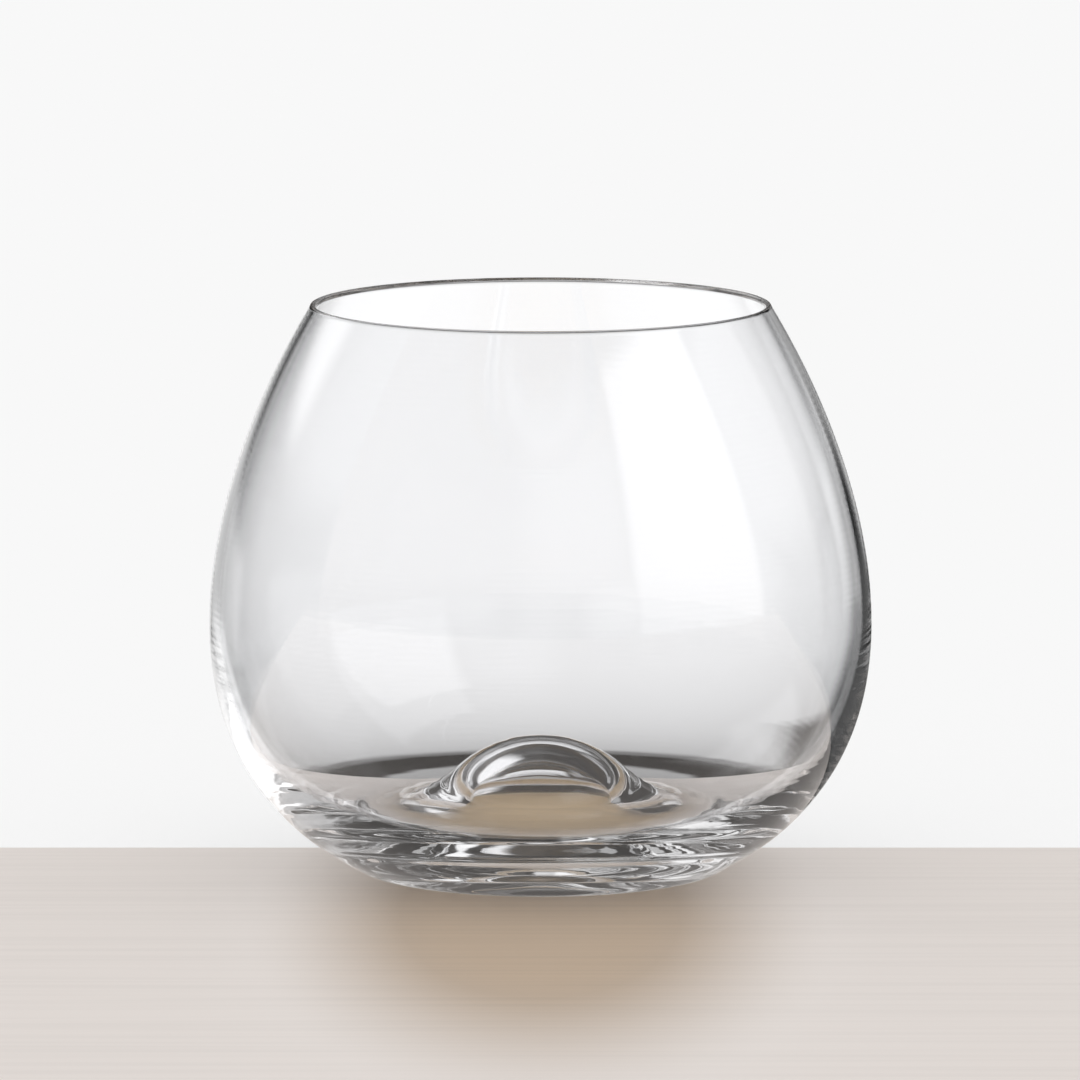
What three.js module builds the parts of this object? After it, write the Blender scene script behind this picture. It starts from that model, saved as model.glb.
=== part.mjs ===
// A stemless brandy snifter in clear glass: a thin blown bowl on a heavy base with a punt.
// Millimetres, +Z up. The origin is the middle of the base, on the surface that the glass stands on.
// Each outline is drawn as radius against height, and turned about the axis of the glass.

import * as THREE from 'three';

// Outside of the bowl
const OVERALL_HEIGHT = 81.5;
const BELLY_DIAMETER = 95;
const BELLY_HEIGHT = 35.4;
const MOUTH_DIAMETER = 66.1;
const LIP_LEAN = THREE.MathUtils.degToRad(29);

// Thickness of the blown wall, which tapers from the belly to the lip
const BELLY_THICKNESS = 1.25;
const LIP_THICKNESS = 0.95;

// Ring that the glass stands on, and the heel that rounds it off outside
const CONTACT_DIAMETER = 48.8;
const CONTACT_WIDTH = 2;
const HEEL_WIDTH = 4.3;
const HEEL_HEIGHT = 1.65;
const HEEL_SLOPE = THREE.MathUtils.degToRad(29.8);

// Inside floor and the dome in its middle, which is round as far as its spread
const FLOOR_HEIGHT = 6.4;
const FLOOR_DIAMETER = 44;
const DOME_RISE = 11.1;
const DOME_CROWN_RADIUS = 17.1;
const DOME_CROWN_SPREAD = THREE.MathUtils.degToRad(40);
const INSIDE_BELLY_RISE = 0.6;

// Hollow punt below the dome, and the glass between their crowns
const DOME_GLASS = 4.3;
const PUNT_CROWN_RADIUS = 11.6;
const PUNT_CROWN_SPREAD = THREE.MathUtils.degToRad(70);

// Height of the flat seam where the blown bowl joins the base
const SEAM_HEIGHT = 14;

// Handles: how far each curve holds the direction it has at its end
const SHOULDER_HANDLE = 22.7;
const LIP_HANDLE = 2.8;
const FLANK_HANDLE = 20.2;
const FLANK_FOOT_HANDLE = 8.9;
const INSIDE_SHOULDER_HANDLE = 21.5;
const INSIDE_FLANK_HANDLE = 14.2;
const INSIDE_FLOOR_HANDLE = 16.6;
const DOME_SIDE_HANDLE = 2.5;
const DOME_FOOT_HANDLE = 4.5;
const PUNT_SIDE_HANDLE = 2.5;
const PUNT_FOOT_HANDLE = 8;
const HEEL_HANDLE_SHARE = 0.5;

// Facets round the axis and steps along each curve
const FACETS_ROUND = 72;
const WALL_STEPS = 12;
const FLANK_STEPS = 6;
const HEEL_STEPS = 4;
const LIP_STEPS = 6;
const CROWN_STEPS = 8;
const FOOT_STEPS = 8;
const SEAM_SEARCH_STEPS = 50;

const bellyRadius = BELLY_DIAMETER / 2;
const contactRadius = CONTACT_DIAMETER / 2;
const floorRadius = FLOOR_DIAMETER / 2;
const domeTop = FLOOR_HEIGHT + DOME_RISE;
const puntTop = domeTop - DOME_GLASS;

const contactOuter = new THREE.Vector2(contactRadius, 0);
const contactInner = new THREE.Vector2(contactRadius - CONTACT_WIDTH, 0);
const heelTop = new THREE.Vector2(contactRadius + HEEL_WIDTH, HEEL_HEIGHT);
const belly = new THREE.Vector2(bellyRadius, BELLY_HEIGHT);
const insideBelly = new THREE.Vector2(bellyRadius - BELLY_THICKNESS, BELLY_HEIGHT + INSIDE_BELLY_RISE);
const floorEdge = new THREE.Vector2(floorRadius, FLOOR_HEIGHT);

// Directions of travel along the outlines
const OUTWARD = new THREE.Vector2(1, 0);
const INWARD = new THREE.Vector2(-1, 0);
const UP = new THREE.Vector2(0, 1);
const DOWN = new THREE.Vector2(0, -1);
const upHeel = new THREE.Vector2(Math.cos(HEEL_SLOPE), Math.sin(HEEL_SLOPE));
const downHeel = upHeel.clone().negate();
const downLip = new THREE.Vector2(Math.sin(LIP_LEAN), -Math.cos(LIP_LEAN));

// The lip is a half round between the two faces of the leaning wall
const lipRadius = LIP_THICKNESS / 2;
const lipCentre = new THREE.Vector2(MOUTH_DIAMETER / 2 - lipRadius, OVERALL_HEIGHT - lipRadius);
const lip = new THREE.EllipseCurve(
  lipCentre.x, lipCentre.y, lipRadius, lipRadius, LIP_LEAN, LIP_LEAN + Math.PI,
);
const lipOuter = lip.getPoint(0);
const lipInner = lip.getPoint(1);

// A curve that leaves its start and reaches its end along the given directions.
function sweep(start, startDirection, startHandle, end, endDirection, endHandle) {
  return new THREE.CubicBezierCurve(
    start,
    start.clone().addScaledVector(startDirection, startHandle),
    end.clone().addScaledVector(endDirection, endHandle),
    end,
  );
}

const heelHandle = HEEL_WIDTH * HEEL_HANDLE_SHARE;
const heel = sweep(contactOuter, OUTWARD, heelHandle, heelTop, downHeel, heelHandle);
const flank = sweep(heelTop, upHeel, FLANK_FOOT_HANDLE, belly, DOWN, FLANK_HANDLE);
const shoulder = sweep(belly, UP, SHOULDER_HANDLE, lipOuter, downLip, LIP_HANDLE);
const insideShoulder = sweep(lipInner, downLip, LIP_HANDLE, insideBelly, UP, INSIDE_SHOULDER_HANDLE);
const insideFlank = sweep(floorEdge, OUTWARD, INSIDE_FLOOR_HANDLE, insideBelly, DOWN, INSIDE_FLANK_HANDLE);

// A round crown, from its top on the axis out to its spread.
function crown(top, radius, spread) {
  const upright = Math.PI / 2;
  return new THREE.EllipseCurve(0, top - radius, radius, radius, upright, upright - spread, true);
}

// The direction in which a crown slopes down where it ends.
function downSide(spread) {
  return new THREE.Vector2(Math.cos(spread), -Math.sin(spread));
}

const domeCrown = crown(domeTop, DOME_CROWN_RADIUS, DOME_CROWN_SPREAD);
const domeFoot = sweep(
  floorEdge, INWARD, DOME_FOOT_HANDLE,
  domeCrown.getPoint(1), downSide(DOME_CROWN_SPREAD), DOME_SIDE_HANDLE,
);
const puntCrown = crown(puntTop, PUNT_CROWN_RADIUS, PUNT_CROWN_SPREAD);
const puntFoot = sweep(
  puntCrown.getPoint(1), downSide(PUNT_CROWN_SPREAD), PUNT_SIDE_HANDLE,
  contactInner, INWARD, PUNT_FOOT_HANDLE,
);

// Finds how far along a rising curve it reaches the seam.
function seamParameter(curve) {
  let below = 0;
  let above = 1;
  for (let step = 0; step < SEAM_SEARCH_STEPS; step += 1) {
    const middle = (below + above) / 2;
    if (curve.getPoint(middle).y < SEAM_HEIGHT) below = middle;
    else above = middle;
  }
  return (below + above) / 2;
}

// Points along a stretch of a curve; the ends at the seam lie exactly on its plane.
function stretch(curve, from, to, steps) {
  const points = [];
  for (let step = 0; step <= steps; step += 1) {
    points.push(curve.getPoint(THREE.MathUtils.lerp(from, to, step / steps)));
  }
  return points;
}

function seamPoint(curve) {
  return new THREE.Vector2(curve.getPoint(seamParameter(curve)).x, SEAM_HEIGHT);
}

const seamOuter = seamPoint(flank);
const seamInner = seamPoint(insideFlank);
const flankSeam = seamParameter(flank);
const insideSeam = seamParameter(insideFlank);

// Points along a crown, from exactly on the axis outwards.
function crownPoints(curve, top) {
  return [new THREE.Vector2(0, top), ...curve.getPoints(CROWN_STEPS).slice(1)];
}

// Joins stretches end to end, dropping the point that two neighbours share.
function outline(...stretches) {
  return stretches.flatMap((points, index) => (index === 0 ? points : points.slice(1)));
}

function clearGlass() {
  return new THREE.MeshStandardMaterial({
    color: 0xf2f6f5,
    roughness: 0.02,
    metalness: 0,
    transparent: true,
    opacity: 0.3,
  });
}

// Turns an outline about the axis of the glass and stands it upright.
function turned(name, points) {
  const geometry = new THREE.LatheGeometry(points, FACETS_ROUND);
  geometry.rotateX(Math.PI / 2);
  const piece = new THREE.Mesh(geometry, clearGlass());
  piece.name = name;
  return piece;
}

// The blown wall, from the seam up its outside, over the lip and down its inside.
function bowl() {
  const outside = [seamOuter, ...stretch(flank, flankSeam, 1, FLANK_STEPS).slice(1)];
  const inside = [...stretch(insideFlank, 1, insideSeam, FLANK_STEPS).slice(0, -1), seamInner];
  return turned('bowl', outline(
    outside,
    shoulder.getPoints(WALL_STEPS),
    lip.getPoints(LIP_STEPS),
    insideShoulder.getPoints(WALL_STEPS),
    inside,
    [seamInner, seamOuter],
  ));
}

// The heavy bottom, from the crown of the punt out to the heel, up to the seam and back over the dome.
function base() {
  const outside = [...stretch(flank, 0, flankSeam, FLANK_STEPS).slice(0, -1), seamOuter];
  const inside = [seamInner, ...stretch(insideFlank, insideSeam, 0, FLANK_STEPS).slice(1)];
  return turned('base', outline(
    crownPoints(puntCrown, puntTop),
    puntFoot.getPoints(FOOT_STEPS),
    [contactInner, contactOuter],
    heel.getPoints(HEEL_STEPS),
    outside,
    [seamOuter, seamInner],
    inside,
    domeFoot.getPoints(FOOT_STEPS),
    crownPoints(domeCrown, domeTop).reverse(),
  ));
}

const snifter = new THREE.Group();
snifter.add(base(), bowl());

export default snifter;
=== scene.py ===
# Stemless brandy snifter in clear glass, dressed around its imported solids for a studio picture.
# Lengths are in metres, angles in radians and +Z is up, in the frame of the solids.

import math

import bmesh
import bpy
from bpy.props import FloatProperty, FloatVectorProperty, IntProperty, PointerProperty
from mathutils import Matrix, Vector
from mathutils.geometry import interpolate_bezier


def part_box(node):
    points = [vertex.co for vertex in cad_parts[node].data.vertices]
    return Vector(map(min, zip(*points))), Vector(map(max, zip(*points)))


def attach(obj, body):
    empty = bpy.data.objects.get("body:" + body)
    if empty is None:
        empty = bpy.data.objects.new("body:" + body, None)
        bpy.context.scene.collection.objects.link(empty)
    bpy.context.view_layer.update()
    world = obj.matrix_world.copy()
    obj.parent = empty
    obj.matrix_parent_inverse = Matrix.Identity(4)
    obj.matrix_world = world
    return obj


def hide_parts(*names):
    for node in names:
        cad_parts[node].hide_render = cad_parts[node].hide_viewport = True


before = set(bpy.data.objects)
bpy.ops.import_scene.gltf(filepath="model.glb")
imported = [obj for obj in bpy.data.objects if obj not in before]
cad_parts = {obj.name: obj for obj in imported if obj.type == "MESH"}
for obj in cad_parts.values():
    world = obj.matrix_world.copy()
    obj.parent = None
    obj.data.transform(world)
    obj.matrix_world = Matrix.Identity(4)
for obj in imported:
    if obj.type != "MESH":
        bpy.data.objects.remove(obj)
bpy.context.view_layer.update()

bl_info = {
    "name": "Brandy snifter",
    "version": (1, 0, 0),
    "blender": (4, 5, 0),
    "location": "3D View > Sidebar > Snifter",
    "description": "Makes a stemless snifter in clear glass and the studio it stands in",
    "category": "Object",
}

MM = 0.001
bowl_low, bowl_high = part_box("bowl")

# Directions of travel along the outline, as radius and height
OUTWARD = Vector((1.0, 0.0))
INWARD = Vector((-1.0, 0.0))
UP = Vector((0.0, 1.0))
DOWN = Vector((0.0, -1.0))

# Handles: how far each curve of the outline holds the direction it has at its end
SHOULDER_HANDLE = 22.7 * MM
LIP_HANDLE = 2.8 * MM
FLANK_HANDLE = 20.2 * MM
FLANK_FOOT_HANDLE = 8.9 * MM
INSIDE_SHOULDER_HANDLE = 21.5 * MM
INSIDE_FLANK_HANDLE = 14.2 * MM
INSIDE_FLOOR_HANDLE = 16.6 * MM
DOME_SIDE_HANDLE = 2.5 * MM
DOME_FOOT_HANDLE = 4.5 * MM
PUNT_SIDE_HANDLE = 2.5 * MM
PUNT_FOOT_HANDLE = 8.0 * MM
HEEL_HANDLE_SHARE = 0.5

# Steps along each curve of the outline
WALL_STEPS = 44
FLANK_STEPS = 48
HEEL_STEPS = 12
LIP_STEPS = 10
CROWN_STEPS = 22
FOOT_STEPS = 22

# Points of the outline that are nearer to the axis than this lie on it
AXIS_RADIUS = 1e-7

# Wiping marks: their size, how they break up, and the part of the noise that shows
WIPE_SCALE = 38.0
WIPE_DETAIL = 4.0
WIPE_DISTORTION = 1.5
WIPE_RANGE = (0.52, 0.74)

# Rings of the mould: how close they lie, and how they waver
RING_SCALE = 330.0
RING_WAVER = 5.0
RING_WAVER_DETAIL = 1.0
RING_WAVER_SCALE = 0.12

# Slow waves: their size, the heights between which they die out, and what is left of them above
WAVE_SCALE = 85.0
WAVE_DETAIL = 0.0
THICK_GLASS = (6.0 * MM, 20.0 * MM)
WALL_WAVES = 0.15

# Reach of the floor, and the gap that keeps its board clear of the sweep and of the glass
WIDE = 8.0
BOARD_GAP = 0.02 * MM

# Grain of the board: how the noise is stretched, its detail, and the part of it that shows
GRAIN_STRETCH = (9.0, 420.0, 1.0)
GRAIN_SCALE = 1.0
GRAIN_DETAIL = 5.0
GRAIN_RANGE = (0.35, 0.75)

# Finish of the board and of the sweep
BOARD_ROUGHNESS = 0.5
BOARD_GLOSS = 0.15
SWEEP_ROUGHNESS = 0.9

# Radii on the board between which the painted pool of light, that stands for the light the glass
# gathers, fades
PAINTED_POOL_RADII = (16.0 * MM, 28.0 * MM)

# Layer Weight's Facing between which a view of the board turns from steep to low, and from the painted
# pool of light to the painted reflection
LOW_VIEW = (0.6, 0.86)

# Long oval in front of the glass that holds a painted reflection of the glass and painted shade: its
# place, shape and soft edge
PAINTED_REFLECTION_SHIFT = 12.0 * MM
PAINTED_REFLECTION_SQUEEZE = 0.3
PAINTED_REFLECTION_EDGE = (12.0 * MM, 42.0 * MM)

# Bearings count from straight behind the glass to the right, in degrees, and wrap round at these ends
BEARINGS = (-120.0, 240.0)

# Panels of the studio: two bearings, then two heights over the level, in degrees
BACKDROPS = (((-14.0, 8.5), (-17.0, -1.0)), ((-14.0, 4.5), (-23.5, -12.0)))
LEFT_FOOT = ((-36.0, -9.0), (-26.0, -8.5))
LEFT_WINDOW = ((-62.0, -16.0), (14.0, 42.0))
LEFT_WALL = ((-50.0, -12.0), (-16.0, 0.0))
SOFTBOX = ((95.0, 146.0), (-6.0, 47.0))
SOFTBOX_FRINGE = ((140.0, 166.0), (-2.0, 12.0))
SIDE_WALLS = (
    ((10.0, 17.0), (-6.0, 0.0)),
    ((12.0, 30.0), (0.0, 6.0)),
    ((30.0, 46.0), (-6.0, 6.0)),
    ((62.0, 95.0), (-14.0, 36.0)),
)
FLOOR_BELOW_BACKDROP = ((-28.0, 28.0), (-42.0, -23.5))
WALL_BEHIND_CAMERA = ((146.0, 186.0), (-3.0, 46.0))
DIM_WALLS = (
    ((10.0, 60.0), (-24.0, -4.0)),
    ((190.0, 240.0), (0.0, 30.0)),
)
PALE_FLOORS = (
    ((28.0, 260.0), (-95.0, -25.0)),
    ((96.0, 186.0), (-95.0, -8.0)),
    ((-140.0, -36.0), (-95.0, -19.0)),
    ((-112.0, -84.0), (-95.0, -1.0)),
    ((-48.0, 40.0), (-95.0, -46.0)),
)
GAP_BELOW_BACKDROP = ((-26.0, 26.0), (-30.5, -24.0))

# Half widths of the soft edges of the panels, in degrees
CRISP = 2.0
SOFT = 3.0
SOFTER = 6.0
BLURRED = 12.0

# Heights in degrees: where the backdrop brightens, and where the fill light turns into overhead light
BACKDROP_GLOW = (-26.0, -7.0)
OVERHEAD = (35.0, 62.0)

# Camera, and how often a ray may bounce before it is lost
CAMERA_SHIFT = -0.09 * MM
FARTHEST_SEEN = 100.0
BOUNCES = 64


def length(name, description, default):
    """A size that a user may change, in metres."""
    return FloatProperty(
        name=name,
        description=description,
        default=default,
        min=0.0,
        precision=5,
        unit="LENGTH",
        subtype="DISTANCE",
    )


def angle(name, description, degrees):
    """An angle that a user may change, written here in degrees."""
    return FloatProperty(
        name=name,
        description=description,
        default=math.radians(degrees),
        unit="ROTATION",
        subtype="ANGLE",
    )


def colour(name, description, default):
    """A colour that a user may change."""
    return FloatVectorProperty(
        name=name,
        description=description,
        default=default,
        size=3,
        min=0.0,
        max=1.0,
        subtype="COLOR",
    )


def level(name, description, default):
    """A brightness or a share of one, where 1 is white."""
    return FloatProperty(name=name, description=description, default=default, min=0.0, max=4.0)


class SnifterShape(bpy.types.PropertyGroup):
    """Sizes of the glass."""

    overall_height: length("Height", "From the standing surface to the top of the lip", bowl_high.z)
    belly_diameter: length("Belly", "Widest diameter of the bowl", bowl_high.x - bowl_low.x)
    belly_height: length("Belly height", "Height of the widest place", 35.4 * MM)
    mouth_diameter: length("Mouth", "Outside diameter at the lip", 66.1 * MM)
    lip_lean: angle("Lip lean", "How far the wall leans in at the lip", 29.0)
    belly_thickness: length("Belly wall", "Thickness of the wall at the belly", 1.25 * MM)
    lip_thickness: length("Lip wall", "Thickness of the wall at the lip", 0.95 * MM)
    inside_belly_rise: length("Inside rise", "Rise of the belly inside over outside", 0.6 * MM)
    contact_diameter: length("Standing ring", "Outside diameter of the ring it stands on", 48.8 * MM)
    contact_width: length("Ring width", "Width of the ring it stands on", 2.0 * MM)
    heel_width: length("Heel width", "How far the heel reaches out from the ring", 4.3 * MM)
    heel_height: length("Heel height", "Height at which the heel ends", 1.65 * MM)
    heel_slope: angle("Heel slope", "Slope of the glass where the heel ends", 29.8)
    floor_height: length("Floor", "Height of the floor of the bowl", 6.4 * MM)
    floor_diameter: length("Floor width", "Diameter of the lowest ring of the floor", 44.0 * MM)
    dome_rise: length("Dome rise", "Height of the dome over the floor", 11.1 * MM)
    dome_crown_radius: length("Dome crown", "Radius of the round crown of the dome", 17.1 * MM)
    dome_crown_spread: angle("Dome spread", "Half angle over which the crown is round", 40.0)
    dome_glass: length("Dome glass", "Thickness of the glass over the punt", 4.3 * MM)
    punt_crown_radius: length("Punt crown", "Radius of the round crown of the punt", 11.6 * MM)
    punt_crown_spread: angle("Punt spread", "Half angle over which the punt is round", 70.0)
    facets_round: IntProperty(name="Facets", description="Facets round the axis", default=300, min=24)


class SnifterFinish(bpy.types.PropertyGroup):
    """Look of the glass."""

    tint: colour("Tint", "Colour of the glass", (0.99, 0.992, 1.0))
    index: FloatProperty(
        name="Index",
        description="Refractive index of the glass",
        default=1.52,
        min=1.0,
        max=2.0,
    )
    smear: FloatProperty(
        name="Smear",
        description="Roughness where the glass was wiped",
        default=0.018,
        min=0.0,
        max=1.0,
        subtype="FACTOR",
    )
    turning_line: length("Turning line", "Height of the fine rings of the mould", 0.9e-6)
    slow_wave: length("Slow wave", "Height of the slow waves of hand-worked glass", 12e-6)


class SnifterStage(bpy.types.PropertyGroup):
    """Studio, floor and camera."""

    # Brown of the painted reflection of the glass and painted shade, in the oval in front of it
    board: colour("Board", "Colour of the board where it mirrors the glass", (0.50, 0.37, 0.25))
    # Painted pool of light below the glass, standing for the light that the glass gathers
    board_painted_pool: colour("Board below", "Colour of the board below the glass", (0.92, 0.69, 0.42))
    board_grain: level("Board grain", "How much darker the grain of the board is", 0.1)
    # The board's own tone away from the glass, and also the colour of its painted sheen
    board_tone_and_sheen: colour("Board open", "Colour of the board away from the glass", (0.40, 0.372, 0.353))
    # Glow of the painted sheen, which stands for the backdrop mirrored in the board and weakens the
    # glass's shadow on it
    painted_sheen_glow: level("Board glow", "How far the open board mirrors the backdrop", 1.0)
    # Least glow of the painted sheen for the camera, a painted light over the painted shade in front of
    # the glass
    painted_sheen_in_front: level("Board sheen", "Share of that glow in front of the glass", 0.2)
    sweep: colour("Sweep", "Colour of the white sweep behind the board", (0.94, 0.94, 0.94))
    sweep_glow: level("Sweep glow", "Share of the sweep's brightness that is its own", 0.66)
    sweep_edge: length("Sweep edge", "Where the sweep starts, behind the axis of the glass", 16.0 * MM)
    board_edge: length("Board edge", "Where the board ends, behind the axis of the glass", 24.0 * MM)
    sky: level("Sky", "Brightness of the white above the sweep, for the camera alone", 0.94)
    overhead: level("Overhead light", "Brightness of the light above the floor", 1.25)
    fill: level("Fill light", "Brightness of the rest of the room, as the floor sees it", 0.8)
    backdrop: level("Backdrop", "Brightness of the backdrop behind the glass", 1.05)
    backdrop_foot: level("Backdrop foot", "Brightness of the backdrop low down", 0.42)
    left_wall: level("Left wall", "Brightness of the wall left of the backdrop", 0.52)
    side_wall: level("Side walls", "Brightness of the other walls beside the backdrop", 0.43)
    dim_wall: level("Dim walls", "Brightness of the walls that no lamp reaches", 0.07)
    softbox: level("Softbox", "Brightness of the softbox on the right", 1.4)
    pale_floor: level("Pale floor", "Brightness of the floor of the studio, beyond the board", 0.84)
    dark: level("Dark", "Brightness of the unlit studio", 0.02)
    camera_distance: length("Camera distance", "From the camera to the axis of the glass", 1.5)
    camera_elevation: angle("Camera elevation", "How far the camera looks down", 8.061)
    camera_aim: length("Camera aim", "Height that the camera looks at", 47.43 * MM)
    camera_lens: FloatProperty(
        name="Lens",
        description="Focal length in millimetres",
        default=349.1,
        min=1.0,
    )


def bend(start, start_direction, start_handle, end, end_direction, end_handle, steps):
    """Points of a curve that leaves its start and reaches its end along the given directions."""
    return interpolate_bezier(
        start, start + start_direction * start_handle, end + end_direction * end_handle, end, steps + 1
    )


def crown(top, radius, spread, steps):
    """Points of a round crown, from its top on the axis out to its spread."""
    points = []
    for step in range(steps + 1):
        turn = spread * step / steps
        points.append(Vector((radius * math.sin(turn), top - radius * (1.0 - math.cos(turn)))))
    return points


def half_round(centre, radius, lean, steps):
    """Points over the lip, from its outer face to its inner one."""
    points = []
    for step in range(steps + 1):
        turn = lean + math.pi * step / steps
        points.append(centre + Vector((math.cos(turn), math.sin(turn))) * radius)
    return points


def join(*stretches):
    """One line of points, without the point that two neighbours share."""
    points = list(stretches[0])
    for stretch in stretches[1:]:
        points.extend(stretch[1:])
    return points


def underside(shape):
    """The hollow punt, from its crown out to the ring that the glass stands on."""
    ring = shape.contact_diameter / 2
    punt_top = shape.floor_height + shape.dome_rise - shape.dome_glass
    spread = shape.punt_crown_spread
    round_part = crown(punt_top, shape.punt_crown_radius, spread, CROWN_STEPS)
    down_side = Vector((math.cos(spread), -math.sin(spread)))
    ring_inner = Vector((ring - shape.contact_width, 0.0))
    side_end = round_part[-1]
    foot = bend(side_end, down_side, PUNT_SIDE_HANDLE, ring_inner, INWARD, PUNT_FOOT_HANDLE, FOOT_STEPS)
    return join(round_part, foot, [ring_inner, Vector((ring, 0.0))])


def outside(shape):
    """The heel, the flank up to the belly and the shoulder up to the lip."""
    ring = Vector((shape.contact_diameter / 2, 0.0))
    heel_top = ring + Vector((shape.heel_width, shape.heel_height))
    belly = Vector((shape.belly_diameter / 2, shape.belly_height))
    up_heel = Vector((math.cos(shape.heel_slope), math.sin(shape.heel_slope)))
    down_lip = Vector((math.sin(shape.lip_lean), -math.cos(shape.lip_lean)))
    heel_handle = shape.heel_width * HEEL_HANDLE_SHARE
    heel = bend(ring, OUTWARD, heel_handle, heel_top, -up_heel, heel_handle, HEEL_STEPS)
    flank = bend(heel_top, up_heel, FLANK_FOOT_HANDLE, belly, DOWN, FLANK_HANDLE, FLANK_STEPS)
    lip_outer = lip(shape)[0]
    shoulder = bend(belly, UP, SHOULDER_HANDLE, lip_outer, down_lip, LIP_HANDLE, WALL_STEPS)
    return join(heel, flank, shoulder)


def lip(shape):
    """The half round that joins the two faces of the leaning wall."""
    radius = shape.lip_thickness / 2
    centre = Vector((shape.mouth_diameter / 2 - radius, shape.overall_height - radius))
    return half_round(centre, radius, shape.lip_lean, LIP_STEPS)


def inside(shape):
    """The inside of the wall down to the floor, and the dome up to its crown."""
    lip_inner = lip(shape)[-1]
    down_lip = Vector((math.sin(shape.lip_lean), -math.cos(shape.lip_lean)))
    belly_radius = shape.belly_diameter / 2 - shape.belly_thickness
    belly = Vector((belly_radius, shape.belly_height + shape.inside_belly_rise))
    floor_edge = Vector((shape.floor_diameter / 2, shape.floor_height))
    shoulder = bend(lip_inner, down_lip, LIP_HANDLE, belly, UP, INSIDE_SHOULDER_HANDLE, WALL_STEPS)
    flank = bend(belly, DOWN, INSIDE_FLANK_HANDLE, floor_edge, OUTWARD, INSIDE_FLOOR_HANDLE, FLANK_STEPS)
    spread = shape.dome_crown_spread
    dome_top = shape.floor_height + shape.dome_rise
    round_part = crown(dome_top, shape.dome_crown_radius, spread, CROWN_STEPS)[::-1]
    down_side = Vector((math.cos(spread), -math.sin(spread)))
    side_end = round_part[0]
    foot = bend(floor_edge, INWARD, DOME_FOOT_HANDLE, side_end, down_side, DOME_SIDE_HANDLE, FOOT_STEPS)
    return join(shoulder, flank, foot, round_part)


def turned(name, outline, facets):
    """A closed mesh: the outline turned about the axis of the glass."""
    maker = bmesh.new()
    rings = []
    for point in outline:
        if point.x < AXIS_RADIUS:
            rings.append([maker.verts.new((0.0, 0.0, point.y))])
            continue
        ring = []
        for facet in range(facets):
            turn = math.tau * facet / facets
            ring.append(maker.verts.new((point.x * math.cos(turn), point.x * math.sin(turn), point.y)))
        rings.append(ring)
    for first, second in zip(rings, rings[1:]):
        for facet in range(facets):
            following = (facet + 1) % facets
            corners = [first[facet % len(first)], first[following % len(first)]]
            corners += [second[following % len(second)], second[facet % len(second)]]
            maker.faces.new(dict.fromkeys(corners))
    bmesh.ops.recalc_face_normals(maker, faces=maker.faces)
    if not all(edge.is_manifold for edge in maker.edges):
        maker.free()
        raise RuntimeError(name + " isn't closed")
    mesh = bpy.data.meshes.new(name)
    maker.to_mesh(mesh)
    maker.free()
    mesh.shade_smooth()
    return mesh


def feed(tree, socket, value):
    """Links a socket to another, or sets its own value."""
    if isinstance(value, bpy.types.NodeSocket):
        tree.links.new(value, socket)
    else:
        socket.default_value = value


def calculate(tree, operation, *values):
    """The output of a Math node."""
    maths = tree.nodes.new("ShaderNodeMath")
    maths.operation = operation
    for socket, value in zip(maths.inputs, values):
        feed(tree, socket, value)
    return maths.outputs["Value"]


def ramp(tree, value, low, high, low_level=0.0, high_level=1.0, kind="SMOOTHSTEP"):
    """A step from one level at low to another at high, soft unless its kind says otherwise."""
    step = tree.nodes.new("ShaderNodeMapRange")
    step.interpolation_type = kind
    feed(tree, step.inputs["Value"], value)
    step.inputs["From Min"].default_value = low
    step.inputs["From Max"].default_value = high
    step.inputs["To Min"].default_value = low_level
    step.inputs["To Max"].default_value = high_level
    return step.outputs["Result"]


def distance(tree, place):
    """How far a place is from the origin."""
    away = tree.nodes.new("ShaderNodeVectorMath")
    away.operation = "LENGTH"
    tree.links.new(place, away.inputs["Vector"])
    return away.outputs["Value"]


def between(tree, factor, first, second):
    """A number between two others."""
    mix = tree.nodes.new("ShaderNodeMix")
    for name, value in (("Factor", factor), ("A", first), ("B", second)):
        feed(tree, mix.inputs[name], value)
    return mix.outputs["Result"]


def blend(tree, factor, first, second):
    """A colour between two others, each a socket or a plain colour."""
    mix = tree.nodes.new("ShaderNodeMix")
    mix.data_type = "RGBA"
    feed(tree, mix.inputs["Factor"], factor)
    for name, value in (("A", first), ("B", second)):
        if not isinstance(value, bpy.types.NodeSocket):
            value = (*value, 1.0)
        feed(tree, mix.inputs[name], value)
    return mix.outputs["Result"]


def noise(tree, place, scale, detail, distortion=0.0):
    """A random pattern from 0 to 1."""
    texture = tree.nodes.new("ShaderNodeTexNoise")
    texture.inputs["Scale"].default_value = scale
    texture.inputs["Detail"].default_value = detail
    texture.inputs["Distortion"].default_value = distortion
    tree.links.new(place, texture.inputs["Vector"])
    return texture.outputs["Fac"]


def stretched(tree, place, scale, shift=(0.0, 0.0, 0.0)):
    """A place that is stretched along each axis and then shifted."""
    mapping = tree.nodes.new("ShaderNodeMapping")
    mapping.inputs["Location"].default_value = shift
    mapping.inputs["Scale"].default_value = scale
    tree.links.new(place, mapping.inputs["Vector"])
    return mapping.outputs["Vector"]


def bump(tree, height, depth):
    """A Bump node for a relief of the given depth."""
    relief = tree.nodes.new("ShaderNodeBump")
    relief.inputs["Distance"].default_value = depth
    tree.links.new(height, relief.inputs["Height"])
    return relief


def turned_by_glass(tree, path):
    """One for rays that the glass or a mirror has turned, and nothing for others."""
    mirrored = path.outputs["Is Glossy Ray"]
    bent = path.outputs["Is Transmission Ray"]
    return calculate(tree, "MAXIMUM", mirrored, bent)


def new_material(name):
    """A material with only a Principled shader, and its tree and shader."""
    material = bpy.data.materials.new(name)
    material.use_nodes = True
    tree = material.node_tree
    return material, tree, tree.nodes["Principled BSDF"]


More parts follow.
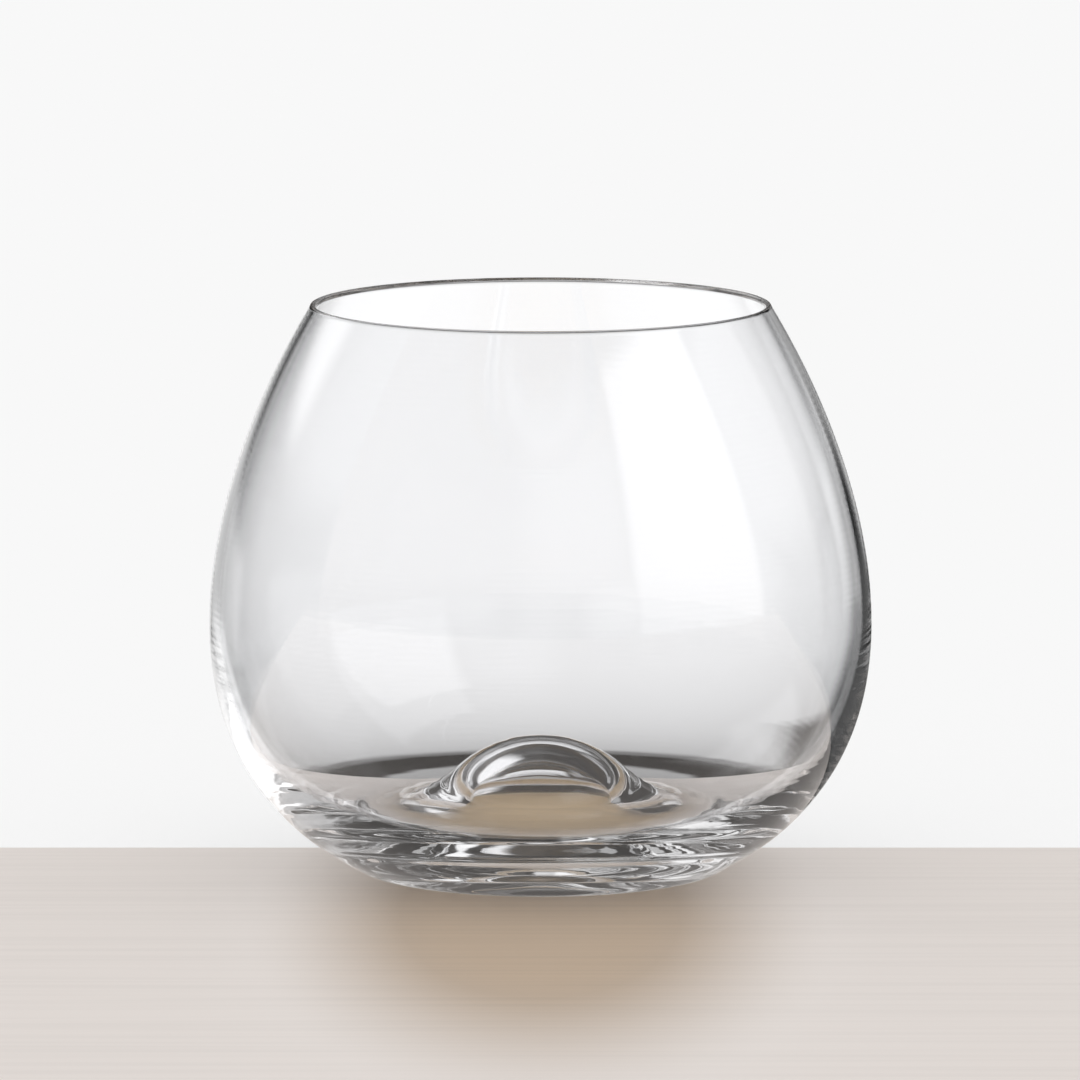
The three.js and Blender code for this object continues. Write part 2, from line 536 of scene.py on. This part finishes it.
def clear_glass(finish):
    """Clear glass with faint rings from the mould, slow waves and a trace of smear."""
    material, tree, shader = new_material("clear_glass")
    shader.inputs["Base Color"].default_value = (*finish.tint, 1.0)
    shader.inputs["IOR"].default_value = finish.index
    shader.inputs["Transmission Weight"].default_value = 1.0
    place = tree.nodes.new("ShaderNodeTexCoord").outputs["Object"]

    wiped = noise(tree, place, WIPE_SCALE, WIPE_DETAIL, WIPE_DISTORTION)
    roughness = ramp(tree, wiped, *WIPE_RANGE, 0.0, finish.smear)
    tree.links.new(roughness, shader.inputs["Roughness"])

    rings = tree.nodes.new("ShaderNodeTexWave")
    rings.wave_type = "BANDS"
    rings.bands_direction = "Z"
    rings.inputs["Scale"].default_value = RING_SCALE
    rings.inputs["Distortion"].default_value = RING_WAVER
    rings.inputs["Detail"].default_value = RING_WAVER_DETAIL
    rings.inputs["Detail Scale"].default_value = RING_WAVER_SCALE
    tree.links.new(place, rings.inputs["Vector"])
    fine = bump(tree, rings.outputs["Fac"], finish.turning_line)

    waves = noise(tree, place, WAVE_SCALE, WAVE_DETAIL)
    parts = tree.nodes.new("ShaderNodeSeparateXYZ")
    tree.links.new(place, parts.inputs["Vector"])
    thick = ramp(tree, parts.outputs["Z"], *THICK_GLASS, 1.0, WALL_WAVES)
    slow = bump(tree, calculate(tree, "MULTIPLY", waves, thick), finish.slow_wave)
    tree.links.new(fine.outputs["Normal"], slow.inputs["Normal"])
    tree.links.new(slow.outputs["Normal"], shader.inputs["Normal"])
    return material


def wooden_board(stage):
    """Pale varnished wood with a fine grain that runs from side to side.

    In a low view a painted reflection of the glass and painted shade darken a long oval in front of
    it. In a steep view a painted pool of light lies below the glass. Around them a painted sheen glows.
    """
    material, tree, shader = new_material("board_with_painted_light")
    place = tree.nodes.new("ShaderNodeTexCoord").outputs["Object"]
    facing = tree.nodes.new("ShaderNodeLayerWeight").outputs["Facing"]
    # The angle of view picks the painted light: the pool below the glass or the reflection in front of
    # it
    low = ramp(tree, facing, *LOW_VIEW)
    # Painted reflection and painted shade: a long oval in front of the glass, seen in a low view
    oval = stretched(tree, place, (1.0, PAINTED_REFLECTION_SQUEEZE, 1.0), (0.0, PAINTED_REFLECTION_SHIFT, 0.0))
    beyond_painted_pool = ramp(tree, distance(tree, place), *PAINTED_POOL_RADII)
    beyond_painted_reflection = ramp(tree, distance(tree, oval), *PAINTED_REFLECTION_EDGE)
    clear = between(tree, low, beyond_painted_pool, beyond_painted_reflection)
    # Steep view: the painted pool of light below the glass. Low view: the painted reflection and shade
    # in front of it
    steep_view_painted_pool = blend(tree, beyond_painted_pool, stage.board_painted_pool, stage.board_tone_and_sheen)
    low_view_painted_reflection = blend(tree, beyond_painted_reflection, stage.board, stage.board_tone_and_sheen)
    tone_with_painted_light = blend(tree, low, steep_view_painted_pool, low_view_painted_reflection)

    grain = noise(tree, stretched(tree, place, GRAIN_STRETCH), GRAIN_SCALE, GRAIN_DETAIL)
    streak = ramp(tree, grain, *GRAIN_RANGE, 0.0, stage.board_grain)
    tone = tree.nodes.new("ShaderNodeVectorMath")
    tone.operation = "SCALE"
    tree.links.new(tone_with_painted_light, tone.inputs["Vector"])
    tree.links.new(calculate(tree, "SUBTRACT", 1.0, streak), tone.inputs["Scale"])
    tree.links.new(tone.outputs["Vector"], shader.inputs["Base Color"])

    # Painted sheen: the board glows for the camera and for rays from the glass, least in the painted
    # reflection and in the painted pool of light
    path = tree.nodes.new("ShaderNodeLightPath")
    sheen = calculate(tree, "MAXIMUM", clear, stage.painted_sheen_in_front)
    seen = calculate(tree, "MULTIPLY", path.outputs["Is Camera Ray"], sheen)
    painted_glow_through = calculate(tree, "MAXIMUM", clear, beyond_painted_pool)
    seen_through = calculate(tree, "MULTIPLY", turned_by_glass(tree, path), painted_glow_through)
    shown = calculate(tree, "MAXIMUM", seen, seen_through)
    glow = calculate(tree, "MULTIPLY", shown, stage.painted_sheen_glow)
    tree.links.new(glow, shader.inputs["Emission Strength"])
    shader.inputs["Emission Color"].default_value = (*stage.board_tone_and_sheen, 1.0)
    shader.inputs["Roughness"].default_value = BOARD_ROUGHNESS
    shader.inputs["Specular IOR Level"].default_value = BOARD_GLOSS
    return material


def white_sweep(stage):
    """Matt white paper, bright by itself in part, so that the glass only shades it faintly."""
    material, tree, shader = new_material("white_sweep")
    lamp_share = 1.0 - stage.sweep_glow
    shader.inputs["Base Color"].default_value = (*(part * lamp_share for part in stage.sweep), 1.0)
    shader.inputs["Emission Color"].default_value = (*stage.sweep, 1.0)
    shader.inputs["Emission Strength"].default_value = stage.sweep_glow
    shader.inputs["Roughness"].default_value = SWEEP_ROUGHNESS
    shader.inputs["Specular IOR Level"].default_value = 0.0
    return material


def add_object(name, data):
    """A new object in the scene."""
    thing = bpy.data.objects.new(name, data)
    bpy.context.scene.collection.objects.link(thing)
    return thing


def ground(name, near, far, height, material):
    """A wide flat sheet between two distances from the axis, counted away from the camera."""
    mesh = bpy.data.meshes.new(name)
    near_side = [(-WIDE, near, height), (WIDE, near, height)]
    far_side = [(WIDE, far, height), (-WIDE, far, height)]
    mesh.from_pydata(near_side + far_side, [], [(0, 1, 2, 3)])
    mesh.materials.append(material)
    sheet = add_object(name, mesh)
    return sheet


def window(tree, value, low, high, soft):
    """One between low and high, and nothing outside, with soft edges."""
    opening = ramp(tree, value, low - soft, low + soft)
    closing = ramp(tree, value, high - soft, high + soft, 1.0, 0.0)
    return calculate(tree, "MULTIPLY", opening, closing)


def panel(tree, across, height, place, brightness, soft):
    """A lit panel of the studio, whose upper and lower edges are half as soft as its sides."""
    sides, ends = place
    spread = window(tree, across, *sides, soft)
    rise = window(tree, height, *ends, soft / 2)
    return calculate(tree, "MULTIPLY", calculate(tree, "MULTIPLY", spread, rise), brightness)


def studio_picture(tree, across, height, stage):
    """Brightness of the studio in each direction, as the glass sees it."""
    glow = ramp(tree, height, *BACKDROP_GLOW, stage.backdrop_foot, stage.backdrop, "LINEAR")
    panels = [(place, glow, CRISP) for place in BACKDROPS]
    panels += [
        (LEFT_FOOT, stage.backdrop, SOFT),
        (LEFT_WINDOW, stage.backdrop, SOFTER),
        (LEFT_WALL, stage.left_wall, SOFT),
        (SOFTBOX, stage.softbox, SOFT),
        (SOFTBOX_FRINGE, stage.backdrop, BLURRED),
        (WALL_BEHIND_CAMERA, stage.side_wall, BLURRED),
        (FLOOR_BELOW_BACKDROP, stage.side_wall, SOFT),
    ]
    panels += [(place, stage.side_wall, SOFT) for place in SIDE_WALLS]
    panels += [(place, stage.dim_wall, SOFT) for place in DIM_WALLS]
    panels += [(place, stage.pale_floor, BLURRED) for place in PALE_FLOORS]
    picture = stage.dark
    for place, brightness, soft in panels:
        light = panel(tree, across, height, place, brightness, soft)
        picture = calculate(tree, "MAXIMUM", light, picture)
    gap = panel(tree, across, height, GAP_BELOW_BACKDROP, 1.0, CRISP)
    return calculate(tree, "MULTIPLY", picture, calculate(tree, "SUBTRACT", 1.0, gap))


def studio(stage):
    """The studio for the glass, the soft light for the floor and plain white for the camera."""
    world = bpy.data.worlds.new("studio")
    world.use_nodes = True
    tree = world.node_tree
    background = tree.nodes["Background"]
    background.inputs["Color"].default_value = (1.0, 1.0, 1.0, 1.0)
    direction = tree.nodes.new("ShaderNodeTexCoord").outputs["Generated"]
    parts = tree.nodes.new("ShaderNodeSeparateXYZ")
    tree.links.new(direction, parts.inputs["Vector"])
    bearing = calculate(tree, "ARCTAN2", parts.outputs["X"], parts.outputs["Y"])
    across = calculate(tree, "WRAP", calculate(tree, "DEGREES", bearing), BEARINGS[1], BEARINGS[0])
    height = calculate(tree, "DEGREES", calculate(tree, "ARCSINE", parts.outputs["Z"]))
    picture = studio_picture(tree, across, height, stage)
    room = ramp(tree, height, *OVERHEAD, stage.fill, stage.overhead)

    path = tree.nodes.new("ShaderNodeLightPath")
    undiffused = calculate(tree, "LESS_THAN", path.outputs["Diffuse Depth"], 1.0)
    in_glass = calculate(tree, "MULTIPLY", turned_by_glass(tree, path), undiffused)
    light = between(tree, in_glass, room, picture)
    strength = between(tree, path.outputs["Is Camera Ray"], light, stage.sky)
    tree.links.new(strength, background.inputs["Strength"])
    return world


def aim_camera(stage):
    """A long lens at the height and the angle of the picture."""
    data = bpy.data.cameras.new("camera")
    data.lens = stage.camera_lens
    data.clip_end = FARTHEST_SEEN
    camera = add_object("camera", data)
    aim = Vector((CAMERA_SHIFT, 0.0, stage.camera_aim))
    back = Vector((0.0, -math.cos(stage.camera_elevation), math.sin(stage.camera_elevation)))
    camera.location = aim + back * stage.camera_distance
    camera.rotation_euler = (-back).to_track_quat("-Z", "Y").to_euler()
    bpy.context.scene.camera = camera


class SNIFTER_OT_glass(bpy.types.Operator):
    """Turn the glass from its outline, finish it and set it on the frame"""

    bl_idname = "snifter.glass"
    bl_label = "Make the glass"

    def execute(self, context):
        shape = context.scene.snifter_shape
        outline = join(underside(shape), outside(shape), lip(shape), inside(shape))
        mesh = turned("glass", outline, shape.facets_round)
        mesh.materials.append(clear_glass(context.scene.snifter_finish))
        glass = add_object("glass", mesh)
        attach(glass, "root")
        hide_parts("bowl", "base")
        return {"FINISHED"}


class SNIFTER_OT_stage(bpy.types.Operator):
    """Set the board, the sweep, the studio light and the camera"""

    bl_idname = "snifter.stage"
    bl_label = "Set the stage"

    def execute(self, context):
        scene = context.scene
        stage = scene.snifter_stage
        ground("board", -WIDE, stage.board_edge, -BOARD_GAP, wooden_board(stage))
        sweep = ground("sweep", stage.sweep_edge, WIDE, 0.0, white_sweep(stage))
        sweep.visible_diffuse = False
        sweep.visible_glossy = False
        sweep.visible_transmission = False
        sweep.visible_shadow = False
        scene.world = studio(stage)
        aim_camera(stage)
        scene.view_settings.view_transform = "Standard"
        scene.cycles.max_bounces = BOUNCES
        scene.cycles.transmission_bounces = BOUNCES
        scene.cycles.glossy_bounces = BOUNCES
        return {"FINISHED"}


class SNIFTER_PT_panel(bpy.types.Panel):
    """Lists the sizes, the finish and the stage"""

    bl_idname = "SNIFTER_PT_panel"
    bl_label = "Snifter"
    bl_space_type = "VIEW_3D"
    bl_region_type = "UI"
    bl_category = "Snifter"

    def draw(self, context):
        scene = context.scene
        for group in (scene.snifter_shape, scene.snifter_finish, scene.snifter_stage):
            box = self.layout.box()
            for name in group.__annotations__:
                box.prop(group, name)
        self.layout.operator(SNIFTER_OT_glass.bl_idname)
        self.layout.operator(SNIFTER_OT_stage.bl_idname)


CLASSES = (
    SnifterShape,
    SnifterFinish,
    SnifterStage,
    SNIFTER_OT_glass,
    SNIFTER_OT_stage,
    SNIFTER_PT_panel,
)


def register():
    for kind in CLASSES:
        bpy.utils.register_class(kind)
    bpy.types.Scene.snifter_shape = PointerProperty(type=SnifterShape)
    bpy.types.Scene.snifter_finish = PointerProperty(type=SnifterFinish)
    bpy.types.Scene.snifter_stage = PointerProperty(type=SnifterStage)


def unregister():
    del bpy.types.Scene.snifter_stage
    del bpy.types.Scene.snifter_finish
    del bpy.types.Scene.snifter_shape
    for kind in reversed(CLASSES):
        bpy.utils.unregister_class(kind)


def main():
    register()
    bpy.ops.snifter.glass()
    bpy.ops.snifter.stage()


if __name__ == "__main__":
    main()
